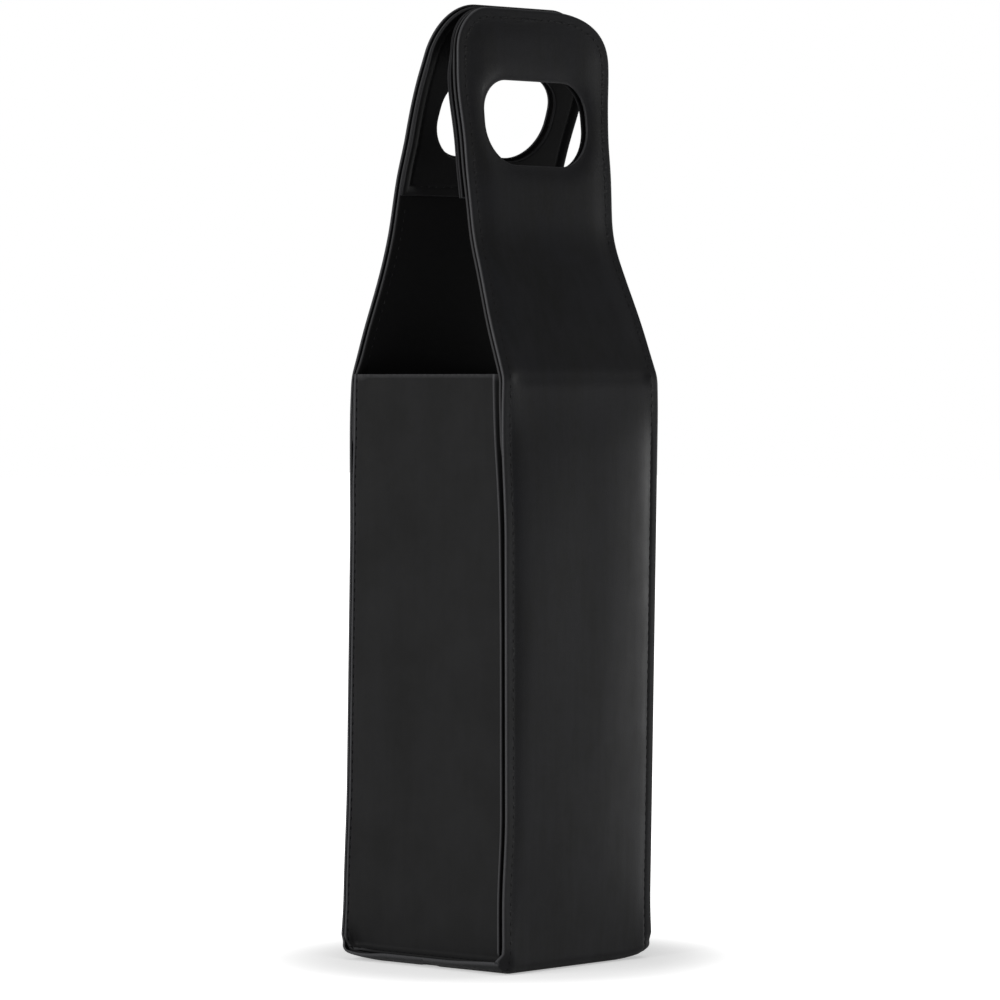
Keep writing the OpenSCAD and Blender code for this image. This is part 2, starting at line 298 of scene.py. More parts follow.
class Pattern:
    """Points (x, s) of a flat pattern and its faces"""
    def __init__(self, outline, insets, hole=None, hole_insets=(), rows=(), pitch=4.0):
        self.pts, self.faces = [], []
        loops = [self._ladder(outline, insets, 1)]
        if hole is not None:
            loops.append(self._ladder(hole, hole_insets, -1))
        self._fill(loops, rows, pitch)
        self.pts = np.array(self.pts)

    def _ladder(self, ring, insets, way):
        """Rows of quads between copies of a ring at the insets. Returns the last copy's points"""
        ring = [Vector(p) for p in ring]
        n = len(ring)
        dirs = []
        for i in range(n):
            t0 = (ring[i] - ring[i - 1]).normalized()
            t1 = (ring[(i + 1) % n] - ring[i]).normalized()
            m = Vector((-t0.y - t1.y, t0.x + t1.x))
            dirs.append(m * (2 / max(m.length_squared, 1e-9)) * way)
        base = len(self.pts)
        for d in insets:
            self.pts += [tuple(p + v * d) for p, v in zip(ring, dirs)]
        for k in range(len(insets) - 1):
            for i in range(n):
                j = (i + 1) % n
                row = base + k * n
                quad = [row + i, row + j, row + n + j, row + n + i]
                self.faces.append(quad if way > 0 else quad[::-1])
        last = base + (len(insets) - 1) * n
        return list(range(last, last + n))

    def _fill(self, loops, rows, pitch):
        """Triangles between the loops, over a grid with the given rows"""
        ids = [i for loop in loops for i in loop]
        co = [Vector(self.pts[i]) for i in ids]
        edges, k = [], 0
        for loop in loops:
            edges += [(k + i, k + (i + 1) % len(loop)) for i in range(len(loop))]
            k += len(loop)
        polys = [np.array([self.pts[i] for i in loop]) for loop in loops]
        lo, hi = polys[0].min(0), polys[0].max(0)
        cols = np.arange(math.ceil(lo[0] / pitch) * pitch, hi[0], pitch)
        grid = np.array([(x, s) for s in rows if lo[1] < s < hi[1] for x in cols])
        if len(grid):
            grid = grid[self._between(grid, polys)]
            for poly in polys:
                grid = grid[distance(grid, poly) > pitch * 0.35]
        for g in grid:
            ids.append(len(self.pts))
            self.pts.append((float(g[0]), float(g[1])))
            co.append(Vector(self.pts[-1]))
        verts, _, faces, orig, _, _ = delaunay_2d_cdt(co, edges, [], 0, 1e-4)
        back = []
        for v, known in zip(verts, orig):
            if not known:
                self.pts.append((v[0], v[1]))
            back.append(ids[known[0]] if known else len(self.pts) - 1)
        mid = np.array([np.mean([verts[v][:] for v in f], 0) for f in faces])
        for f, keep in zip(faces, self._between(mid, polys)):
            if keep:
                self.faces.append([back[v] for v in f])

    def _between(self, points, polys):
        keep = inside(points, polys[0])
        for poly in polys[1:]:
            keep &= ~inside(points, poly)
        return keep


def strip_rows(strip, lo):
    """Lengths of the grid's rows, closer together where the strip turns"""
    rows = list(np.arange(strip.low + 2, strip.turn_end - 1, 4.0))
    rows += list(np.arange(strip.turn_end - 0.5, strip.foot + 1.5, 0.6))
    rows += list(np.arange(strip.foot + 4, -9, 4.0))
    rows += list(np.arange(-8, 8.5, 1.2))
    rows += list(np.arange(11, strip.length, 3.4))
    return [r for r in rows if lo < r < strip.length]


def cut_sheet(strip, lo, inset, insets, grow, hole_insets, pitch=4.0):
    """The pattern of a layer of the strip, from a length up to the flap's top, with its hand hole"""
    return Pattern(closed_outline(strip, lo, inset), insets, hole_ring(strip, grow), hole_insets,
                   strip_rows(strip, lo), pitch)


# Where things lie

def near_corner(x, y, side):
    """1 at the back left (-1) or front right (1) corner of the plan, and 0 beyond its reach"""
    return np.clip(1 - np.hypot(x - side * HALF, y + side * HALF) / FOOT_REACH, 0, 1) ** 2


def settle(p):
    """Twists and shifts points in place, in millimetres with z up from the ground"""
    x, y, z = p.T
    low = np.clip(1 - z / TOP, 0, 1)
    a = np.radians(TWIST * (low - 0.5))
    shift = LEAN * (0.5 - low)
    near_foot = np.clip(1 - z / FOOT_TALL, 0, 1)
    corner = near_corner(x, y, -1) + near_corner(x, y, 1)
    out = np.sign(x) * FOOT_FLARE * near_foot ** 2 * corner
    left, front, back = [np.clip((HALF + way) / PANEL_W, 0, 1) for way in (-x, -y, y)]
    y = y - FRONT_EDGE_BOW * left * front * swell(z, 26, 40, 178, 46)
    y = y - BACK_EDGE_BOW * left * back * swell(z, 26, 50, 170, 60)
    x, y = x + out, y - out
    nx = x * np.cos(a) - y * np.sin(a) + shift * math.cos(VIEW_AZ)
    ny = x * np.sin(a) + y * np.cos(a) - shift * math.sin(VIEW_AZ)
    return np.stack([nx, ny, z + FOOT_LIFT * corner * near_foot], 1)


def back_bow(x, z):
    """How far the back flap's two edges bow, spread over its width"""
    left = LEFT_BOW * swell(z, 22, 62, 100, 45)
    right = RIGHT_BOW * swell(z, 0, 95, 110, 42)
    return left * (1 - x / BOW_HALF) / 2 - right * (1 + x / BOW_HALF) / 2


def on_strip(strip, x, s, depth):
    """Points of the strip in space, from the place across it, the length and the depth"""
    x = np.asarray(x, float)
    u, z = strip.at(np.asarray(s, float), depth)
    y = strip.side * (BODY_D / 2 - u)
    if strip.side > 0:
        y = y + back_bow(x, z)
    return settle(np.stack([x, y, z + TOP], 1))


# Relief: how deep each face lies under the strip's plain outer face, by its distance from the edge

def rounded(d, r):
    """Depth of a rounded edge of radius r at the distance d from it"""
    e = np.clip(r - d, 0, r)
    return r - np.sqrt(np.maximum(r * r - e * e, 0))


def groove(d, deep):
    """The stitches press a shallow line into the leather"""
    return deep * bump(d - STITCH_IN, 0.55)


def ripple(x, s, k):
    """A little unevenness of hand-laid leather, the same each run"""
    wide = 0.10 * np.sin(x / 17 + s / 43 + k) + 0.07 * np.sin(x / 9 - s / 31 + 2.1 + k)
    return wide + 0.05 * np.sin(s / 12 + x / 23 + 0.7 * k)


def curl(strip, x, d, s):
    """Under the base the sewn edge turns up beside the gusset, so its face shows from the side"""
    # It is taller towards the front left and back right corners, and lower towards the others
    out = s - strip.low
    high = CURL_TALL + 1.2 * smooth((out - 12) / 34)
    low = CURL_TALL - 1.6 * smooth((out - 20) / 20)
    tall = np.where(x * strip.side > 0, high, low)
    on_base = smooth((strip.foot + 5.2 - s) / 4.6)
    return tall * np.clip(1 - d / CURL_REACH, 0, 1) ** 2 * on_base


def pulled(strip, x, s):
    """How far the stitches pull the leather in: fully behind, and in front on the right"""
    easy = 1 - smooth(x / 8) if strip.side < 0 else 0.0
    return smooth((-s - 14) / 20) * (1 - easy * smooth((s - strip.low) / 30))


def panel_crown(strip, x, s, d):
    """The body panels stand out softly between their seams"""
    half = half_width(strip.height(s))
    left, right = [1 - (1 - np.clip((half + way * x - STITCH_IN) / CROWN_RUN, 0, 1)) ** 2
                   for way in (1, -1)]
    across = np.clip((half + x) / (2 * half), 0, 1)
    arc = CROWN_RIGHT * (right - 1 + across) + CROWN_LEFT * (left - across)
    on_panel = smooth((-s - 8) / 26) * smooth((s - strip.foot) / 34)
    return on_panel * (arc * smooth((d - STITCH_IN) / 3) + 0.4 * smooth((d - STITCH_IN) / 6))


def outer_relief(strip, pts):
    """Depth of the leather's outer face, with the distances from the sewn edge and the hole"""
    x, s = pts.T
    d = distance(pts, strip.edge_line, closed=False)
    hole = distance(pts, strip.hole)
    on_flap = smooth((s - 2) / 22)
    crown = panel_crown(strip, x, s, d)
    crown = crown + FLAP_CROWN * on_flap * smooth((d - STITCH_IN) / 9) * smooth((hole - 0.6) / 6)
    valley = 0.45 * bump(s - strip.crease, 3.0) * smooth((d - 4.0) / 5)
    uneven = ripple(x, s, 1.9 if strip.side > 0 else 0.0)
    uneven = uneven * smooth((d - 5) / 8) * smooth((hole - 2) / 6) * smooth((s - strip.foot) / 20)
    depth = rounded(d, 0.6) + groove(d, 0.13 + 0.22 * pulled(strip, x, s)) - crown + valley - uneven
    depth = depth + rounded(hole, 0.5) * (hole < 0.5) + curl(strip, x, d, s)
    return depth, d, hole


# Meshes

def add_object(name, data):
    """Links a new object into the scene"""
    ob = bpy.data.objects.new(name, data)
    bpy.context.scene.collection.objects.link(ob)
    return ob


def make_object(name, verts, faces, material, wear_and_painted_light=None, seam=None):
    """An object from points in millimetres, smooth but for its sharp edges"""
    me = bpy.data.meshes.new(name)
    me.from_pydata([tuple(v * MM) for v in np.asarray(verts)], [], faces)
    for label, values in (("wear_and_painted_light", wear_and_painted_light), ("seam", seam)):
        if values is not None:
            layer = me.attributes.new(label, "FLOAT", "POINT")
            layer.data.foreach_set("value", np.asarray(values, np.float32))
    bm = bmesh.new()
    bm.from_mesh(me)
    bmesh.ops.delete(bm, geom=[v for v in bm.verts if not v.link_faces], context="VERTS")
    bmesh.ops.recalc_face_normals(bm, faces=bm.faces)
    for face in bm.faces:
        face.smooth = True
    for edge in bm.edges:
        edge.smooth = len(edge.link_faces) != 2 or edge.calc_face_angle(0) < math.radians(65)
    bm.to_mesh(me)
    bm.free()
    me.materials.append(material)
    return add_object(name, me)


def shell(name, strip, pat, outer, inner, material, wear_and_painted_light=None, seam=None, lip=0.0):
    """A closed layer between two depths. A lip splits its edge in two with a shallow channel"""
    n = len(pat.pts)
    x, s = pat.pts.T
    parts = [on_strip(strip, x, s, outer), on_strip(strip, x, s, inner)]
    faces = [list(f) for f in pat.faces] + [[i + n for i in f][::-1] for f in pat.faces]
    sides = {(f[i], f[(i + 1) % len(f)]) for f in pat.faces for i in range(len(f))}
    rim = [(a, b) for a, b in sides if (b, a) not in sides]
    middle = {}
    if lip:
        inward = np.zeros((n, 2))
        for a, b in rim:
            t = pat.pts[b] - pat.pts[a]
            t /= max(np.linalg.norm(t), 1e-9)
            inward[[a, b]] += (-t[1], t[0])
        for k, (a, _) in enumerate(rim):
            middle[a] = 2 * n + k
        at = np.array([a for a, _ in rim])
        way = inward[at] / np.maximum(np.linalg.norm(inward[at], axis=1), 1e-9)[:, None]
        moved = pat.pts[at] + lip * way
        parts.append(on_strip(strip, *moved.T, ((outer + inner) / 2)[at]))
    for a, b in rim:
        if lip:
            faces += [[b, a, middle[a], middle[b]], [middle[b], middle[a], a + n, b + n]]
        else:
            faces.append([b, a, a + n, b + n])
    extra = np.zeros(len(middle))
    worn_and_lit = None if wear_and_painted_light is None else np.concatenate([wear_and_painted_light, wear_and_painted_light * 0.6, extra])
    stitch_shade = None if seam is None else np.concatenate([seam, seam * 0, extra])
    return make_object(name, np.vstack(parts), faces, material, worn_and_lit, stitch_shade)


# Where the loops that follow an edge lie: close together at the edge and along the stitches
NEAR_STITCHES = tuple(STITCH_IN + k for k in (-0.8, -0.4, 0, 0.4, 0.8, 1.4, 2.2, 3.1))
OUTER_INSETS = (0, 0.12, 0.35, 0.8, 1.7, 2.6) + NEAR_STITCHES
HOLE_INSETS = (0, 0.12, 0.35, 0.8, 1.5, 2.4, 3.4)
FACING_HOLE_INSETS = (0, 0.12, 0.35, 0.9, 1.7, 2.6)
LINING_INSETS = (0, 0.15, 0.5, 1.2, 2.4, 3.2, 3.8, 4.3, 5.2, 7)
LINING_HOLE_INSETS = (0, 0.35, 0.9, 2.0, 3.0)

# How far the inner layers' edges lie inside the leather's, and inside its hand hole
LINING_IN, LINING_HOLE_IN = 0.3, 0.6
FACING_IN, FACING_HOLE_IN = 0.1, 0.7


def build_leather(tag, strip):
    """The outer leather: one half of the long strip, from the middle of the base to a flap's top"""
    pat = cut_sheet(strip, strip.low, 0.0, OUTER_INSETS, 0.0, HOLE_INSETS)
    x, s = pat.pts.T
    outer, d, hole = outer_relief(strip, pat.pts)
    pocket = smooth((d - 4.8) / 0.8)
    edge_face = LEATHER + 0.05 + curl(strip, x, d, s) - 0.4 * rounded(d, 0.4)
    inner = edge_face * (1 - pocket) + np.minimum(LEATHER - 0.05, outer + LEATHER) * pocket
    # The rims of the edge and the hole are lighter, by wear and painted highlight, and a frayed spot by
    # the crease's right corner is worn lighter
    wear_and_painted_light = np.clip(1 - d / 0.7, 0, 1) + 0.5 * np.clip(1 - hole / 0.5, 0, 1)
    wear_and_painted_light = wear_and_painted_light + 0.8 * bump(s + 5, 1.6) * np.clip(1 - d / 1.6, 0, 1) * (x > 0)
    # Strong along the stitches, where the shader paints shade into their groove, and wider and fainter
    # over the leather that they pull, where it only adds puckers
    seam = bump(d - STITCH_IN, 0.6)
    seam = seam + 0.25 * (1 - smooth((d - STITCH_IN) / 6)) * smooth((d - 2.4) / 1.5)
    return shell("leather_" + tag, strip, pat, outer, np.maximum(inner, outer + 0.45),
                 MATERIALS["leather"], wear_and_painted_light, seam)


def drawn_back(strip, d, s):
    """How far the inner layer draws back from the sewn edge low on the body: most of all behind"""
    more = smooth((s - strip.foot) / 14) if strip.side > 0 else 0.0
    return (1.9 + 3.3 * more) * smooth((-s - 26) / 18) * (1 - smooth((d - 1) / (6 + 6 * more)))


def build_lining(tag, strip):
    """The strip's inner layer: a rim of its own shows beside the flap and down to the gusset's top"""
    pat = cut_sheet(strip, strip.low, LINING_IN, LINING_INSETS, LINING_HOLE_IN, LINING_HOLE_INSETS, 5.0)
    s = pat.pts[:, 1]
    d = distance(pat.pts, np.array(arch(strip, strip.low, LINING_IN)), closed=False)
    back_by = drawn_back(strip, d, s)
    pat.pts[:, 0] -= np.sign(pat.pts[:, 0]) * back_by
    turned_up = curl(strip, pat.pts[:, 0], d + LINING_IN + back_by, s)
    # Lower on the body this layer joins the leather, and sooner behind
    join_at, join_run = (-10, 14) if strip.side > 0 else (1, 30)
    join = smooth((-s - join_at) / join_run)
    # High on the front flap its rim fans out from the leather
    fan = 0.4 * smooth((s - 70) / 25) * (strip.side < 0)
    edge_out = 2.35 + fan - 1.0 * join + 0.6 * rounded(d, 0.5)
    # The stitches hold this layer to the leather, which closes the gap between their edges
    held = swell(d, 2.4, 1.0, 4.0, 1.2)
    edge_out = edge_out + (LEATHER + 0.12 - edge_out) * held
    edge_in = 3.5 + fan - 1.0 * join - 0.6 * rounded(d, 0.5)
    # Within the stitches it covers the board, and it is thin under the facing
    pocket = smooth((d - 4.2) / 1.0)
    outer = edge_out * (1 - pocket) + (WRAP + 0.06) * pocket
    plain = STACK - (LINING - 0.12) * smooth((s - strip.hem + 2) / 2)
    filled = pocket if strip.side > 0 else smooth((d - 2.2) / 1.4)
    inner = edge_in * (1 - filled) + plain * filled
    outer, inner = outer + turned_up, np.maximum(inner, outer + 0.1) + turned_up
    # Its rims are painted lighter, a painted highlight with some wear, less so low on the body
    wear_and_painted_light = 1.2 * np.clip(1 - d / 0.7, 0, 1) * (1 - 0.75 * smooth((-s - 26) / 18))
    return shell("lining_" + tag, strip, pat, outer, inner, MATERIALS["lining"], wear_and_painted_light)


def build_facing(tag, strip):
    """The leatherette inside the handle. Its turned edge is thicker, and thins near the other flap"""
    pat = cut_sheet(strip, strip.hem, FACING_IN, OUTER_INSETS, FACING_HOLE_IN, FACING_HOLE_INSETS)
    s = pat.pts[:, 1]
    side = distance(pat.pts, np.array(arch(strip, strip.hem, FACING_IN)), closed=False)
    d = np.minimum(side, s - strip.hem)
    hole = distance(pat.pts, np.array(hole_ring(strip, FACING_HOLE_IN)))
    thick = (1 - smooth((side - 1.4) / 2.6)) * (1 - smooth((s - strip.length + 30) / 14))
    stand_off, fold = (1.2, 2.0) if strip.side < 0 else (0.45, 0.75)
    outer = WRAP + 0.2 + stand_off * thick + 0.5 * rounded(d, 0.4)
    inner = HANDLE + fold * thick - rounded(d, 0.5) - groove(d, 0.3) - rounded(hole, 0.45) * (hole < 0.45)
    # The rims of its edge and hole are lighter, by wear and painted highlight
    wear_and_painted_light = np.clip(1 - d / 0.7, 0, 1) + 0.5 * np.clip(1 - hole / 0.5, 0, 1)
    pat.pts[:, 0] -= FACING_SHIFT * (strip.side < 0)
    return shell("facing_" + tag, strip, pat, outer, np.maximum(inner, outer + 0.25),
                 MATERIALS["facing"], wear_and_painted_light, bump(d - STITCH_IN, 0.6), lip=0.35)


def build_flap_board(tag, strip):
    """The board inside a flap, open round the hand hole"""
    pat = cut_sheet(strip, 1.0, EDGE_W + 0.6, (0, 0.3), HOLE_RIM, (0, 0.3), 6.0)
    clear = 0.15
    full = np.ones(len(pat.pts))
    return shell("core_" + tag + "_flap_board", strip, pat, (LEATHER + clear) * full,
                 (WRAP - clear) * full, MATERIALS["board"])


# Stitches

THREAD_W, THREAD_H, THREAD_DIP = 0.78, 0.5, 0.34
THREAD_RINGS, THREAD_AROUND = 5, 6


def stitch_mesh():
    """One stitch lying along its first axis, its ends dipping into the leather"""
    pts, faces = [], []
    around = THREAD_AROUND
    for i in range(THREAD_RINGS):
        t = -1 + 2 * i / (THREAD_RINGS - 1)
        fat = math.sqrt(max(1 - abs(t) ** 3, 0.05))
        for k in range(around):
            a = 2 * math.pi * k / around
            across = THREAD_W / 2 * fat * math.cos(a)
            up = THREAD_H / 2 * fat * math.sin(a) - THREAD_DIP * t ** 4
            pts.append((t * STITCH_L / 2, across, up))
    for i in range(THREAD_RINGS - 1):
        for k in range(around):
            row, j = i * around, (k + 1) % around
            faces.append([row + k, row + j, row + around + j, row + around + k])
    faces.append(list(range(around))[::-1])
    faces.append([(THREAD_RINGS - 1) * around + k for k in range(around)])
    return np.array(pts), faces


STITCH, STITCH_FACES = stitch_mesh()


def spaced(line, pitch):
    """Points and directions at every pitch along an open line"""
    line = np.array(line)
    run = np.concatenate([[0], np.cumsum(np.hypot(*np.diff(line, axis=0).T))])
    count = int((run[-1] - pitch) // pitch) + 1
    start = (run[-1] - (count - 1) * pitch) / 2
    out = []
    for i in range(count):
        p, q = [np.array([np.interp(t, run, line[:, 0]), np.interp(t, run, line[:, 1])])
                for t in (start + i * pitch, start + i * pitch + 0.2)]
        out.append((p, (q - p) / max(np.linalg.norm(q - p), 1e-9)))
    return out


def turned(v, a):
    """A direction turned by an angle"""
    return np.array([v[0] * math.cos(a) - v[1] * math.sin(a), v[0] * math.sin(a) + v[1] * math.cos(a)])


def lay_stitches(strip, places, depths, sign):
    """Stitches on the strip, each a little askew: sign is -1 on the outside and 1 on the inside"""
    rows = []
    for i, ((p, v), depth) in enumerate(zip(places, depths)):
        t = turned(v, math.radians(2.4 * math.sin(i * 12.9898)))
        flat = p + STITCH[:, :1] * t + STITCH[:, 1:2] * np.array([-t[1], t[0]])
        rows.append(on_strip(strip, flat[:, 0], flat[:, 1], depth + sign * STITCH[:, 2]))
    return rows


def stitch_object(name, rows):
    """All the stitches of a piece in one mesh"""
    faces = [[i + k * len(STITCH) for i in f] for k in range(len(rows)) for f in STITCH_FACES]
    return make_object(name, np.vstack(rows), faces, MATERIALS["thread"])


def build_stitches(tag, strip):
    """The stitches round the strip's edge, round its facing, and down inside from the facing's hem"""
    out = spaced(arch(strip, strip.low + 3, STITCH_IN), STITCH_PITCH)
    at = np.array([p for p, _ in out])
    sunk = outer_relief(strip, at)[0] + 0.10 - 0.14 * pulled(strip, *at.T)
    rows = lay_stitches(strip, out, sunk, -1)
    inner = spaced(arch(strip, strip.hem + 4, STITCH_IN + 0.15), STITCH_PITCH)
    hem = strip.hem + STITCH_IN
    half = strip.half(hem) - STITCH_IN - 4
    inner += spaced([(half, hem), (-half, hem)], STITCH_PITCH)
    rows += lay_stitches(strip, inner, [HANDLE - 0.36] * len(inner), 1)
    for side in (1, -1):
        line = [(side * (strip.half(s) - STITCH_IN), s) for s in np.arange(6, strip.hem - 3, 1.0)]
        places = spaced(line, STITCH_PITCH)
        rows += lay_stitches(strip, places, [STACK - 0.1] * len(places), 1)
    return stitch_object("thread_" + tag, rows)


# Side gussets: a plate with a flange turned out along three edges

# The plate's outer face and its thickness, how far in from the panels it folds, and its half width
GX, PLATE = HALF - FLANGE, 1.18
IN = STACK + LEATHER
GUSSET_HALF = BODY_D / 2 - IN
FOLD_R = 3.0

# Points across the flange: the way into the plate, and the height towards the outside
FLANGE_PROFILE = (
    (2.4, 0.0), (1.6, 0.05), (0.9, 0.30), (0.35, 0.85), (0.0, 1.6), (-0.02, 2.6),
    (-0.02, 3.35), (-0.12, 3.72), (-0.42, 3.95), (-0.8, 3.95), (-1.08, 3.72), (-1.16, 3.3),
    (-1.16, 1.6), (-1.16, -0.2), (-0.9, -0.75), (-0.3, -1.1), (0.8, -PLATE), (2.4, -PLATE))

# How far the front flange's free edge stands off its panel at the top, and over what height
MOUTH, MOUTH_TALL = 1.35, 46.0


def lie(x, y, z):
    """The front flange spreads near the top. The back one is pressed on, and lifts the plate beside it"""
    up_flange = np.clip((x - GX) / FLANGE, 0, 1)
    mouth = MOUTH * smooth((z - TOP + MOUTH_TALL) / MOUTH_TALL) * up_flange
    y = np.where(y < 0, y * (1 - mouth / GUSSET_HALF), y)
    low = 1 - smooth((z - 196) / 26)
    press = (1.0 + 0.9 * low) * smooth((y - 24) / 18) * smooth((z + 2) / 6)
    lift = 2.6 * smooth((y - 26) / 16) * (1 - up_flange) * smooth((z - IN + 1) / 12)
    drop = 1.3 * smooth((y - 34) / 8) * (1 - smooth((z - IN) / 9))
    return np.stack([x + lift, y + press, z - drop], 1)


def sink(z):
    """The stitching along the base pulls the plate's foot in"""
    return 1.1 * (1 - smooth((z - IN - 1.5) / 8))


def fold_line():
    """From the front top, down, along the base and up the back, with each point's way into the plate"""
    pts = [(-GUSSET_HALF, z) for z in np.arange(TOP, IN + FOLD_R, -3.0)]
    for i in range(9):
        a = math.pi / 2 * i / 8
        pts.append((FOLD_R - GUSSET_HALF - FOLD_R * math.cos(a), IN + FOLD_R - FOLD_R * math.sin(a)))
    pts += [(y, IN) for y in np.arange(2 * FOLD_R - GUSSET_HALF, -1, 3.0)]
    pts += [(0.0, IN)] + [(-y, z) for y, z in reversed(pts)]
    pts = np.array(pts)
    way = np.gradient(pts, axis=0)
    way /= np.linalg.norm(way, axis=1)[:, None]
    return pts, np.stack([-way[:, 1], way[:, 0]], 1)


FOLD, FOLD_IN = fold_line()


def flange_point(off, height):
    """The flange's points at one place of its profile"""
    y, z = FOLD.T
    upright = smooth((z - IN - 0.5) / 4)
    # The front flange leans onto its panel low down and away from it near the top
    front_push = 0.45 - 1.05 * smooth((z - 130) / 100)
    push = np.where(y < 0, front_push, 0.0) * upright * max(height, 0) / FLANGE
    place = FOLD + FOLD_IN * (off - push)[:, None]
    tall = height * (0.5 + 0.5 * upright) if height > 0 else height
    x = GX + tall - sink(place[:, 1]) * max(0.0, 1 - abs(height) / 1.3)
    return x, place[:, 0], place[:, 1]


def plate_faces(poly):
    """Points and triangles that fill the plate inside the flange's foot, finer at the hem"""
    heights = list(np.arange(8.5, 238, 6.0)) + [241, 243, 244.2, 245.1, 245.7]
    grid = np.array([(y, z) for z in heights for y in np.arange(-36, 37, 4.0)])
    grid = grid[inside(grid, poly)]
    grid = grid[distance(grid, poly) > np.where(grid[:, 1] > 240, 0.15, 1.6)]
    co = [Vector(p) for p in poly] + [Vector(g) for g in grid]
    k = len(poly)
    edges = [(i, (i + 1) % k) for i in range(k)]
    flat, _, tris, orig, _, _ = delaunay_2d_cdt(co, edges, [], 0, 1e-4)
    keep = inside(np.array([np.mean([flat[v][:] for v in f], 0) for f in tris]), poly)
    return co, [[orig[v][0] for v in f] for f, ok in zip(tris, keep) if ok]


def build_gusset(tag, side):
    """The flange's profile swept along the fold, with the plate in it"""
    rows = [np.stack(flange_point(off, height), 1) for off, height in FLANGE_PROFILE]
    n, m = len(FOLD), len(FLANGE_PROFILE)
    verts = [tuple(p) for row in rows for p in row]
    faces = []
    for k in range(m - 1):
        for i in range(n - 1):
            a = k * n + i
            faces.append([a, a + 1, a + n + 1, a + n])
    faces += [[k * n for k in range(m)], [k * n + n - 1 for k in range(m)][::-1]]
    ring = FOLD + FOLD_IN * FLANGE_PROFILE[0][0]
    top = [(ring[-1][0] + (ring[0][0] - ring[-1][0]) * i / 22, TOP) for i in range(1, 22)]
    poly = np.array([tuple(p) for p in ring] + top)
    co, tris = plate_faces(poly)
    outer_id, inner_id = {}, {}
    for i, (y, z) in enumerate(co):
        if i < n:
            outer_id[i], inner_id[i] = i, (m - 1) * n + i
            continue
        hem = 0.28 * float(bump(z - TOP + 1.0, 0.8))
        edge = 0.5 * float(rounded(np.array([TOP - z]), 0.5)[0])
        crown = float(smooth((38 - abs(y)) / 30) * smooth((z - 12) / 40) * smooth((TOP - z) / 30))
        outer_id[i] = len(verts)
        verts.append((GX + hem - edge + 0.5 * crown - float(sink(z)), y, z))
        inner_id[i] = len(verts)
        verts.append((GX - PLATE + edge - float(sink(z)), y, z))
    for ids in tris:
        faces += [[outer_id[i] for i in ids], [inner_id[i] for i in ids][::-1]]
    for a in range(n - 1, len(poly)):
        b = (a + 1) % len(poly)
        faces.append([outer_id[a], outer_id[b], inner_id[b], inner_id[a]])
    verts = np.array(verts)
    # Lighter along the flange's tip and the plate's top edge, by wear and painted highlight, and on the
    # back flange's wall, a painted light where that wall lies in shade
    tip = np.clip((verts[:, 0] - (HALF - 0.5)) / 0.4, 0, 1)
    back_wall_painted_light = 0.55 * smooth((verts[:, 0] - GX - 0.5) / 1.2) * smooth((verts[:, 1] - 30) / 8)
    top_edge = 0.7 * np.clip((verts[:, 2] - (TOP - 1.5)) / 1.2, 0, 1)
    wear_and_painted_light = np.maximum(tip, back_wall_painted_light) + top_edge
    verts = lie(*verts.T)
    verts[:, 0] *= side
    return make_object("gusset_" + tag, settle(verts), faces, MATERIALS["gusset"], wear_and_painted_light)


def build_slab(name, side, x0, x1, half_y, z0, z1, material):
    """A thin board or lining against a gusset, with softened edges"""
    nx, ny, softness = 13, 31, 0.22
    verts, faces = [], []
    for way, x in ((-1, x0), (1, x1)):
        for z in np.linspace(z0, z1, ny):
            for y in np.linspace(-half_y, half_y, nx):
                edge = min(half_y - abs(y), z1 - z, z - z0)
                soft = softness * max(0.0, 1 - edge)
                verts.append((side * (x + way * soft), y, z))
    for j in range(ny - 1):
        for i in range(nx - 1):
            a = j * nx + i
            b = a + nx * ny
            faces += [[a, a + 1, a + 1 + nx, a + nx], [b, b + nx, b + 1 + nx, b + 1]]
    rim = list(range(nx)) + [j * nx + nx - 1 for j in range(1, ny)]
    rim += [(ny - 1) * nx + i for i in range(nx - 2, -1, -1)] + [j * nx for j in range(ny - 2, 0, -1)]
    faces += [[b, a, a + nx * ny, b + nx * ny] for a, b in zip(rim, rim[1:] + rim[:1])]
    return make_object(name, settle(np.array(verts)), faces, material)


def build_seam_stitches(tag, side):
    """The same seam seen from the gusset's side, along the flange"""
    _, y, z = lie(*flange_point(-0.02, SEAM_UP)).T
    rows = []
    for p, v in spaced(np.stack([y, z], 1), STITCH_PITCH):
        way_in = np.array([-v[1], v[0]])
        # Along the back flange they lie deeper and further out, and under the base lower
        behind = float(smooth((p[0] - 30) / 12))
        flat = p + STITCH[:, :1] * v + (STITCH[:, 2:3] + 0.02 - 0.13 * behind) * way_in
        out = np.full(len(STITCH), GX + SEAM_UP * (0.4 + 0.6 * float(smooth((p[1] - IN) / 10))))
        out = out + 1.3 * behind
        rows.append(settle(np.stack([side * (out + STITCH[:, 1]), *flat.T], 1)))
    return stitch_object("seam_thread_" + tag, rows)


def settled_copy(node):
    """A hidden flat board, cut finer, a little narrower, and laid with the pieces round it"""
    bm = bmesh.new()
    bm.from_mesh(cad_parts[node].data)
    bmesh.ops.remove_doubles(bm, verts=bm.verts, dist=1e-6)
    long_edges = [e for e in bm.edges if e.calc_length() > 50 * MM]
    bmesh.ops.subdivide_edges(bm, edges=long_edges, cuts=3, use_grid_fill=True)
    narrower = np.array([0.95, 1, 1])
    moved = settle(np.array([v.co for v in bm.verts]) / MM * narrower) * MM
    for v, c in zip(bm.verts, moved):
        v.co = c
    me = bpy.data.meshes.new("core_" + node)
    bm.to_mesh(me)
    bm.free()
    me.materials.clear()
    me.materials.append(MATERIALS["board"])
    return add_object("core_" + node, me)


# Materials

def node(tree, kind, **sockets):
    """A shader node with the values of its named sockets"""
    made = tree.nodes.new("ShaderNode" + kind)
    for key, value in sockets.items():
        made.inputs[key.replace("_", " ")].default_value = value
    return made


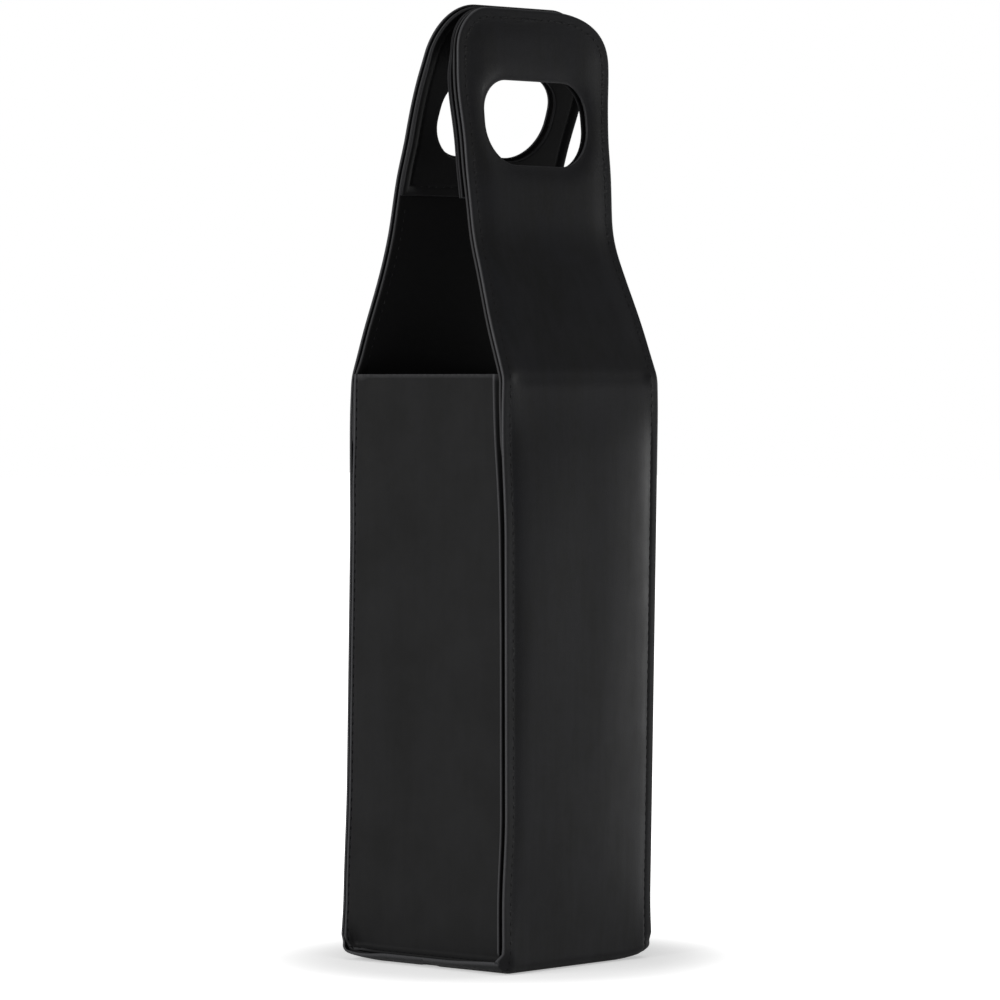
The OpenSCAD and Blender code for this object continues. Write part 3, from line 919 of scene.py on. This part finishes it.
def math_node(tree, operation, a, b=None, c=None):
    """One operation on up to three numbers or sockets. Returns its socket"""
    made = tree.nodes.new("ShaderNodeMath")
    made.operation = operation
    for i, value in enumerate((a, b, c)):
        if value is None:
            continue
        if isinstance(value, (int, float)):
            made.inputs[i].default_value = value
        else:
            tree.links.new(value, made.inputs[i])
    return made.outputs[0]


def mix_color(tree, amount, a, b):
    """Mixes two colours, each a tuple or a socket, by a socket's amount"""
    made = tree.nodes.new("ShaderNodeMix")
    made.data_type = "RGBA"
    tree.links.new(amount, made.inputs[0])
    for i, value in ((6, a), (7, b)):
        if isinstance(value, tuple):
            made.inputs[i].default_value = (*value, 1)
        else:
            tree.links.new(value, made.inputs[i])
    return made.outputs[2]


def noise(tree, coords, scale, detail=4.0, rough=0.55, stretch=None):
    """Noise over the object, finer along the axes with a larger stretch"""
    made = node(tree, "TexNoise", Scale=scale, Detail=detail, Roughness=rough)
    if stretch is not None:
        mapping = node(tree, "Mapping", Scale=stretch)
        tree.links.new(coords, mapping.inputs["Vector"])
        coords = mapping.outputs[0]
    tree.links.new(coords, made.inputs["Vector"])
    return made.outputs["Fac"]


def attribute(tree, name):
    """A value that the mesh carries at its points"""
    made = node(tree, "Attribute")
    made.attribute_name = name
    return made.outputs["Fac"]


def cleared_tree(data):
    """The emptied shader tree of a material or a world"""
    data.use_nodes = True
    data.node_tree.nodes.clear()
    return data.node_tree


def surface(name, spec):
    """A new material with its tree, its shader and the object's coordinates"""
    mat = bpy.data.materials.new(name)
    tree = cleared_tree(mat)
    bsdf = node(tree, "BsdfPrincipled", Specular_IOR_Level=spec)
    tree.links.new(bsdf.outputs[0], node(tree, "OutputMaterial").inputs[0])
    return mat, tree, bsdf, node(tree, "TexCoord").outputs["Object"]


def finish_surface(tree, bsdf, shade, rim, fray, height, strength, depth, tone, rough_from, rough_to):
    """Links a surface's shade and its rims lightened by wear and painted highlight, its bumps, and a
    roughness that follows its tone
    """
    link = tree.links.new
    worn_and_lit = math_node(tree, "MULTIPLY", attribute(tree, "wear_and_painted_light"), fray)
    worn_and_lit = math_node(tree, "MINIMUM", worn_and_lit, 1.0)
    link(mix_color(tree, worn_and_lit, shade, rim), bsdf.inputs["Base Color"])
    relief = node(tree, "Bump", Strength=strength, Distance=depth * MM)
    link(height, relief.inputs["Height"])
    link(relief.outputs[0], bsdf.inputs["Normal"])
    shine = node(tree, "MapRange", To_Min=rough_from, To_Max=rough_to)
    link(tone, shine.inputs["Value"])
    link(shine.outputs[0], bsdf.inputs["Roughness"])


def leather(name, color, tint, rough, spec, grain, depth, mottle, streak, rim=(0.080, 0.080, 0.084)):
    """Coated cloth: mottled and finely streaked, with pebbled grain, rims lightened by wear and painted
    highlight, and stitch lines darkened by painted shade
    """
    mat, tree, bsdf, coords = surface(name, spec)
    broad = noise(tree, coords, 42, 5.0, 0.6)
    lines = noise(tree, coords, 1, 4.0, 0.6, (210, 210, 24))
    tone = math_node(tree, "MULTIPLY_ADD", lines, streak, broad)
    ramp = node(tree, "ValToRGB")
    ramp.color_ramp.elements[0].position = 0.34 + streak * 0.4
    ramp.color_ramp.elements[1].position = 0.66 + streak * 0.6
    ramp.color_ramp.elements[0].color = (*[c * (1 - mottle) for c in color], 1)
    ramp.color_ramp.elements[1].color = (*[c * (1 + mottle) for c in tint], 1)
    tree.links.new(tone, ramp.inputs[0])
    # Painted shade darkens the stitch lines, standing in for the shadow in their sunk groove, and the
    # rims' lightening, by wear and painted highlight, is broken up by fibres
    seam = attribute(tree, "seam")
    stitch_shade = math_node(tree, "MULTIPLY", math_node(tree, "SUBTRACT", seam, 0.25), 0.35)
    shaded = mix_color(tree, math_node(tree, "MAXIMUM", stitch_shade, 0.0), ramp.outputs[0],
                       tuple(c * 0.35 for c in color))
    fibre = math_node(tree, "MULTIPLY_ADD", noise(tree, coords, 2400, 2.0), 0.9, 0.4)
    # Pebbles everywhere, and puckers that are strongest along the stitches
    cells = node(tree, "TexVoronoi", Scale=grain)
    cells.feature = "DISTANCE_TO_EDGE"
    tree.links.new(coords, cells.inputs["Vector"])
    pull = math_node(tree, "MULTIPLY_ADD", seam, 9.0, 0.5)
    pucker = math_node(tree, "MULTIPLY", noise(tree, coords, 1, 3.0, 0.5, (120, 120, 900)), pull)
    height = math_node(tree, "ADD", cells.outputs["Distance"], noise(tree, coords, grain * 1.7, 5.0))
    height = math_node(tree, "ADD", height, pucker)
    finish_surface(tree, bsdf, shaded, rim, fibre, height, 0.55, depth, tone, rough + 0.10, rough - 0.10)
    return mat


def woven(name, color, scale, depth, rough, spec=0.15, rim=(0.062, 0.062, 0.064)):
    """Thread or lining cloth: fine crossed strands, with rims lightened by wear and painted highlight"""
    mat, tree, bsdf, coords = surface(name, spec)
    strands = [noise(tree, coords, 1, 2.0, 0.5, stretch) for stretch in
               ((scale, scale, scale / 6), (scale / 6, scale, scale))]
    weave = math_node(tree, "MAXIMUM", *strands)
    dark, light = [tuple(c * k for c in color) for k in (0.7, 1.35)]
    shade = mix_color(tree, weave, dark, light)
    finish_surface(tree, bsdf, shade, rim, 0.9, weave, 0.5, depth, weave, rough - 0.08, rough + 0.08)
    return mat


MATERIALS = {
    "leather": leather("leatherette_outer", (0.0072, 0.0072, 0.0076), (0.0086, 0.0088, 0.0106),
                       rough=0.50, spec=0.22, grain=1500, depth=0.05, mottle=0.24, streak=0.7),
    "gusset": leather("leatherette_gusset", (0.0145, 0.0145, 0.0147), (0.0150, 0.0150, 0.0156),
                      rough=0.64, spec=0.14, grain=1500, depth=0.03, mottle=0.09, streak=0.3),
    "facing": leather("leatherette_facing", (0.0034, 0.0034, 0.0037), (0.0039, 0.0040, 0.0046),
                      rough=0.58, spec=0.11, grain=1500, depth=0.04, mottle=0.15, streak=0.3,
                      rim=(0.058, 0.058, 0.061)),
    "lining": woven("lining_cloth", (0.0029, 0.0029, 0.0033), scale=2600, depth=0.05, rough=0.85),
    "thread": woven("thread_black", (0.0065, 0.0065, 0.0070), scale=3400, depth=0.04, rough=0.60),
    "board": woven("greyboard_core", (0.36, 0.34, 0.30), scale=700, depth=0.06, rough=0.88),
}


# The pieces

def place(ob, body, slot, *nodes):
    """A piece that moves with one body"""
    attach(ob, body)
    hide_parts(*nodes)


def place_across(ob, flap, side, slot, *nodes):
    """A piece that crosses a crease: its place is baked into its points, and the parts it replaces are
    hidden
    """
    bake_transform(ob)
    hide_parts(*nodes)


# The folds lie just under the gussets' top. The front flap's right corner is a long easy curve
FRONT = Strip(-1, FLAP_L, FRONT_PATH, -1.5, FACING_L - FRONT_HEM_UP,
              ((4.3, 24.15, 2.6), (HANDLE_HALF - 18, 18, 2)))
BACK = Strip(1, FLAP_L + BACK_EXTRA, BACK_PATH, -1.0, FACING_L, ((HANDLE_HALF - 22, 22, 2),) * 2)

for strip, tag in ((FRONT, "front"), (BACK, "back")):
    flap, side = tag + "_flap", strip.side
    place_across(build_leather(tag, strip), flap, side, "leatherette", flap + "_skin", "outer_wrap")
    place_across(build_lining(tag, strip), flap, side, "lining_fabric", flap + "_lining", "wrap_lining")
    place_across(build_stitches(tag, strip), flap, side, "thread", flap + "_stitches")
    place(build_facing(tag, strip), flap, "facing_leatherette", tag + "_handle_facing")
    place(build_flap_board(tag, strip), flap, "greyboard", flap + "_board")

for board in ("front_board", "back_board", "base_board"):
    place(settled_copy(board), "carrier", "greyboard", board)

for side, tag in ((-1, "left"), (1, "right")):
    place(build_gusset(tag, side), "carrier", "leatherette", tag + "_gusset")
    board = build_slab("core_gusset_" + tag, side, GX - 1.28, GX - 2.95, GUSSET_HALF - 0.4,
                       IN + 9, TOP - 1.9, MATERIALS["board"])
    place(board, "carrier", "greyboard", tag + "_gusset_board")
    lining = build_slab("lining_gusset_" + tag, side, GX - 3.0, GX - 3.5, BODY_D / 2 - STACK - 0.3,
                        STACK + 0.3, TOP - 0.4, MATERIALS["lining"])
    place(lining, "carrier", "lining_fabric", tag + "_gusset_lining")
    place(build_seam_stitches(tag, side), "carrier", "thread", tag + "_seam_stitches")


# Floor, light and camera

def build_world(strength):
    """Soft even light that the camera sees as white"""
    world = bpy.data.worlds.new("studio")
    bpy.context.scene.world = world
    tree = cleared_tree(world)
    link = tree.links.new
    out = node(tree, "OutputWorld")
    mix = node(tree, "MixShader")
    soft = node(tree, "Background", Color=(1, 1, 1, 1), Strength=strength)
    white = node(tree, "Background", Color=(1, 1, 1, 1), Strength=1.0)
    link(node(tree, "LightPath").outputs["Is Camera Ray"], mix.inputs[0])
    link(soft.outputs[0], mix.inputs[1])
    link(white.outputs[0], mix.inputs[2])
    link(mix.outputs[0], out.inputs[0])


def build_floor(glow_near, glow_far, near, far_off):
    """A pale floor that whitens away from the object, for the camera and in reflections. Its weaker glow
    near the object paints soft grey shade on the floor round the base, beside the real contact shadow
    """
    me = bpy.data.meshes.new("floor")
    me.from_pydata([(-8, -8, 0), (8, -8, 0), (8, 8, 0), (-8, 8, 0)], [], [(0, 1, 2, 3)])
    floor = add_object("floor", me)
    floor.location.z = -0.2 * MM
    mat = bpy.data.materials.new("pale_floor")
    tree = cleared_tree(mat)
    link = tree.links.new
    out = node(tree, "OutputMaterial")
    both = node(tree, "AddShader")
    matt = node(tree, "BsdfDiffuse", Color=(0.86, 0.86, 0.86, 1))
    glow = node(tree, "Emission")
    far = node(tree, "VectorMath")
    far.operation = "LENGTH"
    link(node(tree, "TexCoord").outputs["Object"], far.inputs[0])
    # Weaker glow near the object: painted shade round the base
    reach = node(tree, "MapRange", From_Min=near, From_Max=far_off, To_Min=glow_near, To_Max=glow_far)
    reach.interpolation_type = "SMOOTHSTEP"
    link(far.outputs["Value"], reach.inputs["Value"])
    rays = node(tree, "LightPath").outputs
    mirrored = math_node(tree, "MULTIPLY", rays["Is Glossy Ray"], 0.2)
    seen = math_node(tree, "MAXIMUM", rays["Is Camera Ray"], mirrored)
    link(math_node(tree, "MULTIPLY", seen, reach.outputs[0]), glow.inputs["Strength"])
    link(matt.outputs[0], both.inputs[0])
    link(glow.outputs[0], both.inputs[1])
    link(both.outputs[0], out.inputs[0])
    me.materials.append(mat)


def area(name, at, look, width, tall, power):
    """A rectangular lamp that faces a point"""
    data = bpy.data.lights.new(name, "AREA")
    data.shape = "RECTANGLE"
    data.size = width
    data.size_y = tall
    data.energy = power
    lamp = add_object(name, data)
    lamp.location = at
    lamp.rotation_euler = (Vector(look) - Vector(at)).to_track_quat("-Z", "Y").to_euler()


def build_camera(az, tilt, away, target):
    """A long lens at the photograph's viewing angle"""
    data = bpy.data.cameras.new("camera")
    data.sensor_width = 36
    data.lens = 180
    data.clip_start = 0.05
    camera = add_object("camera", data)
    forward = Vector((math.sin(az) * math.cos(tilt), math.cos(az) * math.cos(tilt), -math.sin(tilt)))
    camera.location = target - forward * away
    camera.rotation_euler = forward.to_track_quat("-Z", "Y").to_euler()
    bpy.context.scene.camera = camera


bpy.context.scene.view_settings.view_transform = "Standard"
build_world(strength=0.20)
build_floor(glow_near=0.44, glow_far=1.2, near=0.065, far_off=0.15)
area("left_soft", (-1.9, 0.25, 0.75), look=(0, 0, 0.2), width=1.2, tall=1.2, power=19)
area("top_soft", (-0.2, -0.6, 2.2), look=(0, 0, 0.15), width=1.6, tall=1.6, power=8.5)
area("right_strip", (1.42, -0.46, 0.25), look=(0, 0, 0.16), width=0.4, tall=0.5, power=3.3)
aside = Vector((math.cos(VIEW_AZ), -math.sin(VIEW_AZ), 0)) * -0.16 * MM
build_camera(VIEW_AZ, math.radians(1.367), away=2.104, target=Vector((0, 0, 0.1931)) + aside)
